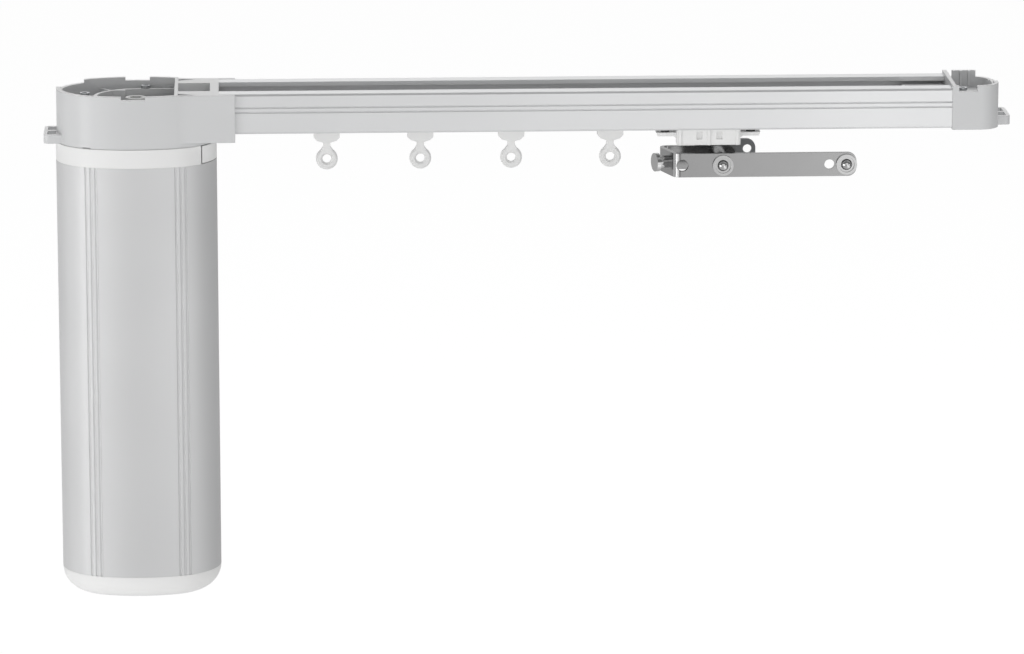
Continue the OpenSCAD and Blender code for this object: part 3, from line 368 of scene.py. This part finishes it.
def oval(inset):
    """Ring of points: two side arcs and two flatter arcs, tangent where they meet."""
    turn = math.atan2(FLAT_Y, SIDE_X)
    arcs = [
        ((SIDE_X, 0.0), SIDE_R, -turn, turn),
        ((0.0, -FLAT_Y), FLAT_R, turn, math.pi - turn),
        ((-SIDE_X, 0.0), SIDE_R, math.pi - turn, math.pi + turn),
        ((0.0, FLAT_Y), FLAT_R, math.pi + turn, 2 * math.pi - turn),
    ]
    stretches = []
    for centre, radius, start, stop in arcs:
        angle = np.linspace(start, stop, ARC_POINTS, endpoint=False)
        circle = np.stack([np.cos(angle), np.sin(angle)], axis=1)
        stretches.append(np.array(centre) + (radius - inset) * circle)
    return np.concatenate(stretches)


def oblong(half_x, half_y):
    """The oval's points pulled straight to the centre until they lie on a rectangle."""
    ring = oval(0.0)
    ring = ring / np.maximum(abs(ring[:, :1]) / half_x, abs(ring[:, 1:]) / half_y)
    for corner in np.array([(1, 1), (-1, 1), (-1, -1), (1, -1)]) * (half_x, half_y):
        ring[np.argmin(((ring - corner) ** 2).sum(axis=1))] = corner
    return ring


print("oval:", MOTOR_W, "x", MOTOR_D, "mm, points in a ring:", len(oval(0.0)))

# %% A closed skin through rings
SHARP_ANGLE = math.radians(35)


def link(name, data):
    """Puts a mesh, a lamp or a camera into the scene and returns its object."""
    made = bpy.data.objects.new(name, data)
    scene.collection.objects.link(made)
    return made


def ring_stack(name, levels, finish):
    """A skin of quads through rings of equal count. The last ring joins the first one again."""
    points = np.array([np.column_stack([ring, np.full(len(ring), z)]) for ring, z in levels])
    rows, cols = points.shape[:2]
    i, j = np.meshgrid(np.arange(rows), np.arange(cols), indexing="ij")
    down, along = (i + 1) % rows, (j + 1) % cols
    corners = [i * cols + j, i * cols + along, down * cols + along, down * cols + j]
    faces = np.stack(corners, axis=-1).reshape(-1, 4)
    mesh = bpy.data.meshes.new(name)
    mesh.from_pydata((points.reshape(-1, 3) * MM).tolist(), [], faces.tolist())
    mesh.materials.append(finish)
    mesh.shade_smooth()
    mesh.set_sharp_from_angle(angle=SHARP_ANGLE)
    return link(name, mesh)


print("edges stay sharp above", round(math.degrees(SHARP_ANGLE)), "degrees")

# %% The cap
DRIVE_X, TUBE_END, CAP_H, CAP_EDGE = -173.2, -189.4, 9.7, 10.0
COLLAR_H, COLLAR_OUT, COLLAR_IN = 6.0, 2.1, 4.1
SOCKET_HALF = (7.6, 4.6)
DOME_RINGS = 19
opening = oblong(*SOCKET_HALF)
dome = [
    (oval(CAP_EDGE * (1 - math.cos(angle))), -CAP_H * math.sin(angle))
    for angle in np.linspace(0, math.pi / 2, DOME_RINGS)
]
inside = [
    (opening, -CAP_H),
    (opening, 0.0),
    (oval(COLLAR_IN), 0.0),
    (oval(COLLAR_IN), COLLAR_H),
    (oval(COLLAR_OUT), COLLAR_H),
    (oval(COLLAR_OUT), 0.0),
]
levels = [(ring + (DRIVE_X, 0.0), TUBE_END + z) for ring, z in dome + inside]
cap = ring_stack("cap_dome", levels, finishes["white_plastic"])
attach(cap, "track")
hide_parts("bottom_cap")
print("cap rings:", len(levels), "points in each:", len(opening))

# %% [markdown]
# ## Floor
# The track hangs, so the floor lies a little below the motor. Plain white paint would
# look grey unless the object were lit far too strongly. So the floor asks which kind of
# ray looks at it. The camera sees white with a trace of the real shadow, mirroring rays
# see a sheet that shades the satin metal from left to right, and all others a pale glow.
# From underneath the floor is clear, so that a view from below isn't blocked.

# %% White floor
WHITE, PALE = (1.0, 1.0, 1.0, 1.0), (0.8, 0.8, 0.8, 1.0)
SEEN_WHITE, SHADOW_KEPT = 1.06, 0.08
GLOW, GLOW_SHARE = 0.8, 0.6
LEFT, MIDDLE, RIGHT, BEHIND = 1.0, 2.9, 0.5, 0.25  # strengths of the mirrored sheet
RISE_X, FALL_X = (0.08, 0.52), (0.75, 1.15)  # metres
BEHIND_X, BEHIND_Y = (0.0, 0.4), (-0.3, 0.5)  # metres
FLOOR_DROP, FLOOR_HALF = 0.35, 12.0  # metres


def white_stage(name):
    """Diffuse paint and a glow, mixed, with the glow's strength chosen by the kind of ray.

    The mirrored sheet rises along X from left to middle and falls to the right. Behind
    the track on the right it fades to a level of its own.
    """
    f = Finish(name)
    across, deep = f.axis(f.place, "X"), f.axis(f.place, "Y")
    rise = (MIDDLE - LEFT) * f.ramp(across, *RISE_X)
    fall = (MIDDLE - RIGHT) * f.ramp(across, *FALL_X)
    front = LEFT + rise - fall
    back = f.ramp(across, *BEHIND_X) * f.ramp(deep, *BEHIND_Y)
    sheet = front + back * (BEHIND - front)
    seen, mirrored = f.ray("Camera"), f.ray("Glossy") + f.ray("Transmission")
    strength = seen * SEEN_WHITE + mirrored * sheet + (1.0 - seen - mirrored) * GLOW
    paint = f.node("ShaderNodeBsdfDiffuse", inputs={"Color": PALE})
    glow = f.node("ShaderNodeEmission", inputs={"Color": WHITE, "Strength": strength})
    share = GLOW_SHARE + seen * (1.0 - GLOW_SHARE - SHADOW_KEPT)
    top = f.node("ShaderNodeMixShader", inputs={0: share, 1: paint, 2: glow})
    under = f.node("ShaderNodeNewGeometry", output="Backfacing")
    clear = f.node("ShaderNodeBsdfTransparent")
    both = f.node("ShaderNodeMixShader", inputs={0: under, 1: top, 2: clear})
    f.node("ShaderNodeOutputMaterial", inputs={"Surface": both})
    return f.material


floor_z = cad_box[0][Z] - FLOOR_DROP
square = [(-1, -1), (1, -1), (1, 1), (-1, 1)]
mesh = bpy.data.meshes.new("floor")
mesh.from_pydata([(x * FLOOR_HALF, y * FLOOR_HALF, floor_z) for x, y in square], [], [(0, 1, 2, 3)])
mesh.materials.append(white_stage("studio floor"))
floor = link("floor", mesh)
print("floor height in metres:", round(floor_z, 3))

# %% [markdown]
# ## Room
# Beyond the floor there is only the world. A picture of a studio could stand there, but
# three plain levels do: white for the camera, a dim level that fills the shadows, and
# for mirroring rays a room that is darker in front of the track than behind it.

# %% World
ROOM, ROOM_FRONT, ROOM_BACK = 0.17, 0.3, 0.65
ROOM_TURN = (-0.2, 0.3)  # the part of the way from front to back where the level changes
world = bpy.data.worlds.new("studio")
world.use_nodes = True
scene.world = world
room = Shader(world.node_tree)
way = room.node("ShaderNodeTexCoord", output="Generated")
walls = ROOM_FRONT + (ROOM_BACK - ROOM_FRONT) * room.ramp(room.axis(way, "Y"), *ROOM_TURN)
unseen = ROOM + room.ray("Glossy") * (walls - ROOM)
level = unseen + room.ray("Camera") * (1.0 - unseen)
sky = room.node("ShaderNodeBackground", inputs={"Color": WHITE, "Strength": level})
room.node("ShaderNodeOutputWorld", inputs={"Surface": sky})
print("room levels:", ROOM, ROOM_FRONT, ROOM_BACK)

# %% [markdown]
# ## Lights
# Shiny metal shows the shapes of its lights. Small lamps would leave hard spots on it, so
# all lights are softboxes. Tall strips and panels at both sides draw the bright and the
# dark bands down the motor, a panel in front fills the rail, and a large box above and
# behind lights the rims.

# %% Softboxes
AIM = Vector((0.0, 0.0, -0.08))
# Azimuth and elevation in degrees, distance and size in metres, power in watts
LAMPS = {
    "left strip": (-62, -8, 1.6, (0.3, 0.9), 4.4),
    "left panel": (-46, -7, 1.6, (1.0, 1.1), 6.2),
    "far left panel": (-95, -6, 1.5, (0.8, 0.7), 1.5),
    "front panel": (6, 20, 1.5, (1.4, 0.8), 4.0),
    "right panel": (30, -7, 1.6, (0.8, 0.8), 2.6),
    "right strip": (60, -8, 1.6, (0.3, 0.9), 1.9),
    "top back": (170, 50, 1.8, (2.8, 1.8), 22),
}


def softbox(name, azimuth, elevation, distance, size, power):
    """A rectangular light aimed at the track. Azimuth 0 is in front, 90 on the right."""
    a, e = math.radians(azimuth), math.radians(elevation)
    away = Vector((math.sin(a) * math.cos(e), -math.cos(a) * math.cos(e), math.sin(e)))
    lamp = bpy.data.lights.new(name, "AREA")
    lamp.shape, lamp.energy = "RECTANGLE", power
    lamp.size, lamp.size_y = size
    made = link(name, lamp)
    made.location = AIM + away * distance
    made.rotation_euler = (-away).to_track_quat("-Z", "Y").to_euler()
    made.visible_camera = False


for name, settings in LAMPS.items():
    softbox(name, *settings)
print("softboxes:", len(LAMPS))

# %% [markdown]
# ## Camera
# The photograph is a front view from about ten degrees above, and its upright lines stay
# nearly upright. A shifted lens could keep them so, but every other view would keep the
# shift too. So a long lens far away is used instead, turned a little to the right.

# %% Camera
PICTURE_W, FOCAL_PX = 1024, 5787.0
SENSOR_W = 36.0  # millimetres
YAW, PITCH = math.radians(2.69), math.radians(12.79)
EYE = np.array([-131.3, -2200.0, 403.8])  # millimetres
CLIP = (0.05, 60.0)  # metres
camera = bpy.data.cameras.new("camera")
camera.sensor_width = SENSOR_W
camera.lens = FOCAL_PX / PICTURE_W * SENSOR_W
camera.clip_start, camera.clip_end = CLIP
eye = link("camera", camera)
eye.location = EYE * MM
across, down = math.cos(PITCH), math.sin(PITCH)
sight = Vector((math.sin(YAW) * across, math.cos(YAW) * across, -down))
eye.rotation_euler = sight.to_track_quat("-Z", "Y").to_euler()
scene.camera = eye
scene.view_settings.view_transform = "Standard"
print("lens in millimetres:", round(camera.lens, 1))
